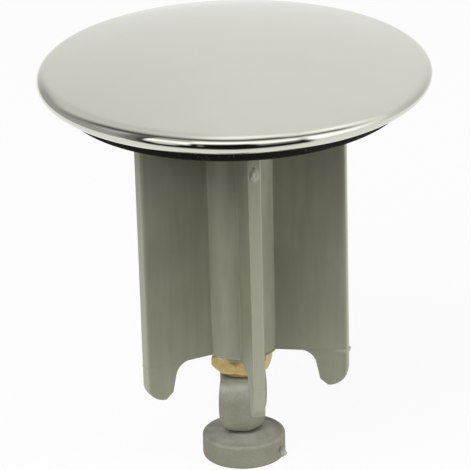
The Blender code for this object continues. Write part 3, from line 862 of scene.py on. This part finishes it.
def cap_rings():
    """Rings of the cap: down inside the dome and the roll, then up over the outside of both."""
    edge = roll_profile(dome_edge_normal, dome_edge_normal, 0, 0)[0]
    dome_radius = edge[0] / math.cos(math.radians(dome_edge_normal))
    centre = (0, edge[1] - dome_radius * math.sin(math.radians(dome_edge_normal)))
    outside = arc(centre, dome_radius, dome_edge_normal, 90, DOME_ROWS)
    inside = arc(centre, dome_radius - cap_wall, 90, dome_edge_normal, DOME_ROWS)
    profile = path(inside, roll_profile(dome_edge_normal, 0, cap_wall, ROLL_ROWS // 2)[1:],
                   roll_profile(0, roll_end_normal, cap_wall, ROLL_ROWS // 2)[1:],
                   roll_profile(roll_end_normal, 0, 0, ROLL_ROWS // 2),
                   roll_profile(0, dome_edge_normal, 0, ROLL_ROWS // 2)[1:], outside[1:])
    return turned(profile, np.linspace(0, 2 * np.pi, CAP_COLUMNS, endpoint=False))


finish(skin("cap_plated", cap_rings()), "plug", "chrome", chrome_plate(), "cap")

# Floor: a white sheet that ends a little in front of the plug. The camera sees it almost pure
# white, with the plug's own faint shadow.
sheet_front = -60 * MM
sheet_side = 180 * MM
sheet_back = 1500 * MM
sheet_shadow_share = 0.07
sheet_level = -0.02 * MM


def paper():
    """Matt white paper: the camera and reflections see it lit evenly, with part of the shadow kept."""
    material, tree = new_material("matt_paper_white")
    diffuse = add(tree, "ShaderNodeBsdfDiffuse", {"Color": linear("#F4F4F2")})
    glow = add(tree, "ShaderNodeEmission", {"Color": linear("#FFFFFF"), "Strength": 1.0})
    rays = add(tree, "ShaderNodeLightPath").outputs
    seen = calculate(tree, "MAXIMUM", rays["Is Camera Ray"], rays["Is Glossy Ray"])
    seen = calculate(tree, "MAXIMUM", seen, rays["Is Transmission Ray"])
    share = calculate(tree, "MULTIPLY", seen, 1 - sheet_shadow_share)
    mixed = add(tree, "ShaderNodeMixShader", {"Fac": share, 1: diffuse.outputs["BSDF"],
                                              2: glow.outputs["Emission"]})
    add(tree, "ShaderNodeOutputMaterial", {"Surface": mixed.outputs["Shader"]})
    return material


sheet = bpy.data.meshes.new("paper_sheet")
sheet.from_pydata([(-sheet_side, sheet_front, sheet_level), (sheet_side, sheet_front, sheet_level),
                   (sheet_side, sheet_back, sheet_level), (-sheet_side, sheet_back, sheet_level)],
                  [], [(0, 1, 2, 3)])
floor = bpy.data.objects.new("paper_sheet", sheet)
bpy.context.scene.collection.objects.link(floor)
floor.data.materials.append(paper())

# Light: a pale room and soft lamps. What polished metal mirrors is set by direction, in degrees
# of rise above the horizon and of turn from the front: cards lighter or darker than the room,
# the dark room in front, with more cards over it, and a shaded arc across the front.
FRONT_TURN = math.radians(-8.7)
ROOM_LEVEL = 0.92
MATT_LEVEL_SHARE = 0.3
OVERHEAD_AXIS = (-0.006, -0.2078, 0.9781)
OVERHEAD_EDGES = (20, 8)
OVERHEAD_LEVEL = 1.3
SIDE_CARDS = (((-20, 75), (-165, -58), 0.74, 14, 15, 2),
              ((-28, 22), (-150, -58), 0.44, 8, 9, 2),
              ((-38, 14), (98, 150), 0.68, 14, 18, 18),
              ((-32, 45), (-68, -54), 0.22, 8, 5, 2),
              ((-16, 60), (39, 84), 1.6, 12, 2, 12))
FRONT_CARDS = (((-8, 60), (12, 36), 0.33, 12, 1.5, 1.5),
               ((18, 44), (-27, 14), 1.6, 8, 2, 2),
               ((9, 50), (10, 40), 1.5, 8, 4, 6),
               ((1, 33), (-53, -26), 1.6, 11, 1.5, 1.5),
               ((-14, 14), (-47, -34), 0.9, 8, 3, 3),
               ((-14, 12), (-21.5, -18.5), 0.25, 4, 1, 1))
DARK_LEVEL = 0.01
DARK_LEFT = (-57, 120, 3, 3)
DARK_RIGHT = (-120, 39, 3, 3)
DARK_RIGHT_LEAN = 0.28
DARK_BOTTOM = (-53, 70, 10, 2)
DARK_BOTTOM_SLOPE = -0.27
DARK_TOP = (-90, 40, 1, 1)
RING_AXIS = (0.3134, 0.5624, 0.7651)
RING_WIDTH = (6.5, 28.5, 9, 9)
RING_LENGTH = (-108, 78, 14, 14)
RING_LEVEL_SHARE = 0.13
lamp_distance = 700 * MM
lamp_aim = 40 * MM
LAMPS = (("soft_box_above", -42, 50, 600 * MM, 4.2),
         ("window_left", -50, 6, 400 * MM, 0.48),
         ("soft_box_right", 66, 9, 400 * MM, 2.3))


def between(value, low, high, low_blur, high_blur):
    """1 where a value in radians lies between two angles in degrees, with an edge blurred at each."""
    enter = ramp(sky, value, math.radians(low - low_blur), math.radians(low + low_blur))
    leave = ramp(sky, value, math.radians(high - high_blur), math.radians(high + high_blur), 1.0, 0.0)
    return calculate(sky, "MULTIPLY", enter, leave)


def lit(under, share, brightness):
    """The room's brightness with a share of another over it."""
    return add(sky, "ShaderNodeMix", {"Factor": share, "A": under, "B": brightness},
               data_type="FLOAT").outputs["Result"]


def card(under, rises, turns, brightness, rise_blur, left_blur, right_blur):
    """The room with a blurred patch of another brightness, between two rises and two turns."""
    patch = calculate(sky, "MULTIPLY", between(rise, *rises, rise_blur, rise_blur),
                      between(turn, *turns, left_blur, right_blur))
    return lit(under, patch, brightness)


world = bpy.data.worlds.new("pale_studio")
bpy.context.scene.world = world
world.use_nodes = True
sky = world.node_tree
sky.nodes.clear()
direction = add(sky, "ShaderNodeTexCoord").outputs["Generated"]
split = add(sky, "ShaderNodeSeparateXYZ", {"Vector": direction}).outputs
rise = calculate(sky, "ARCSINE", split["Z"])
swing = calculate(sky, "ARCTAN2", split["X"], calculate(sky, "MULTIPLY", split["Y"], -1.0))
turn = calculate(sky, "WRAP", calculate(sky, "SUBTRACT", swing, FRONT_TURN), math.pi, -math.pi)

nearness = add(sky, "ShaderNodeVectorMath", {0: direction, 1: OVERHEAD_AXIS}, operation="DOT_PRODUCT")
outer_edge, inner_edge = (math.cos(math.radians(edge)) for edge in OVERHEAD_EDGES)
level = lit(ROOM_LEVEL, ramp(sky, nearness.outputs["Value"], outer_edge, inner_edge), OVERHEAD_LEVEL)
for side_card in SIDE_CARDS:
    level = card(level, *side_card)
lean = calculate(sky, "MULTIPLY", calculate(sky, "MINIMUM", rise, 0.0), DARK_RIGHT_LEAN)
dark = calculate(sky, "MULTIPLY", between(turn, *DARK_LEFT),
                 between(calculate(sky, "ADD", turn, lean), *DARK_RIGHT))
dip = calculate(sky, "MULTIPLY_ADD", calculate(sky, "ABSOLUTE", turn), DARK_BOTTOM_SLOPE, rise)
dark = calculate(sky, "MULTIPLY", dark, between(dip, *DARK_BOTTOM))
dark = calculate(sky, "MULTIPLY", dark, between(rise, *DARK_TOP))
level = lit(level, dark, DARK_LEVEL)
for front_card in FRONT_CARDS:
    level = card(level, *front_card)
height = add(sky, "ShaderNodeVectorMath", {0: direction, 1: RING_AXIS}, operation="DOT_PRODUCT")
off_plane = calculate(sky, "ARCSINE", height.outputs["Value"])
ring = calculate(sky, "MULTIPLY", between(off_plane, *RING_WIDTH), between(turn, *RING_LENGTH))
level = calculate(sky, "MULTIPLY", level, ramp(sky, ring, 0, 1, 1.0, RING_LEVEL_SHARE))
rays = add(sky, "ShaderNodeLightPath").outputs
lighting_share = ramp(sky, rays["Is Diffuse Ray"], 0, 1, 1.0, MATT_LEVEL_SHARE)
level = calculate(sky, "MULTIPLY", level, lighting_share)
room = add(sky, "ShaderNodeBackground", {"Color": linear("#FFFFFF"), "Strength": level})
white = add(sky, "ShaderNodeBackground", {"Color": linear("#FFFFFF"), "Strength": 1.0})
seen = add(sky, "ShaderNodeMixShader", {"Fac": rays["Is Camera Ray"], 1: room.outputs["Background"],
                                        2: white.outputs["Background"]})
add(sky, "ShaderNodeOutputWorld", {"Surface": seen.outputs["Shader"]})


def outlook(turn, lift):
    """Directions right, up and back of what looks at the plug from a turn and a lift."""
    right = np.array((math.cos(turn), math.sin(turn), 0))
    back = np.array((math.sin(turn) * math.cos(lift), -math.cos(turn) * math.cos(lift), math.sin(lift)))
    return right, np.cross(back, right), back


def put(name, data, axes, spot):
    """Put a lamp or camera at a spot, along its three axes."""
    stand = np.eye(4)
    stand[:3, :3] = np.stack(axes, axis=1)
    stand[:3, 3] = spot
    made = bpy.data.objects.new(name, data)
    made.matrix_world = Matrix(stand.tolist())
    bpy.context.scene.collection.objects.link(made)
    return made


for lamp_name, lamp_turn, lamp_lift, lamp_size, lamp_power in LAMPS:
    bulb = bpy.data.lights.new(lamp_name, "AREA")
    bulb.size = lamp_size
    bulb.energy = lamp_power
    lamp_axes = outlook(math.radians(lamp_turn), math.radians(lamp_lift))
    lamp = put(lamp_name, bulb, lamp_axes, lamp_axes[2] * lamp_distance + (0, 0, lamp_aim))
    lamp.visible_glossy = False

# Camera: at the photograph's viewing angle, tilted a little, so that the plug leans left.
aim_level = 43.01 * MM
camera_distance = 858.8 * MM
camera_turn = math.radians(-8.815)
camera_lift = math.radians(22.69)
camera_roll = math.radians(1.56)
camera_shift = -0.64 * MM
camera_lens = 367.465
camera_sensor = 36.0
clip_near = 100 * MM
clip_far = 5000 * MM

right, up, back = outlook(camera_turn, camera_lift)
rolled_right = right * math.cos(camera_roll) - up * math.sin(camera_roll)
rolled_up = right * math.sin(camera_roll) + up * math.cos(camera_roll)
view = bpy.data.cameras.new("view")
view.lens = camera_lens
view.sensor_width = camera_sensor
view.clip_start = clip_near
view.clip_end = clip_far
spot = back * camera_distance + rolled_right * camera_shift + (0, 0, aim_level)
bpy.context.scene.camera = put("view", view, (rolled_right, rolled_up, back), spot)
bpy.context.scene.view_settings.view_transform = "Standard"
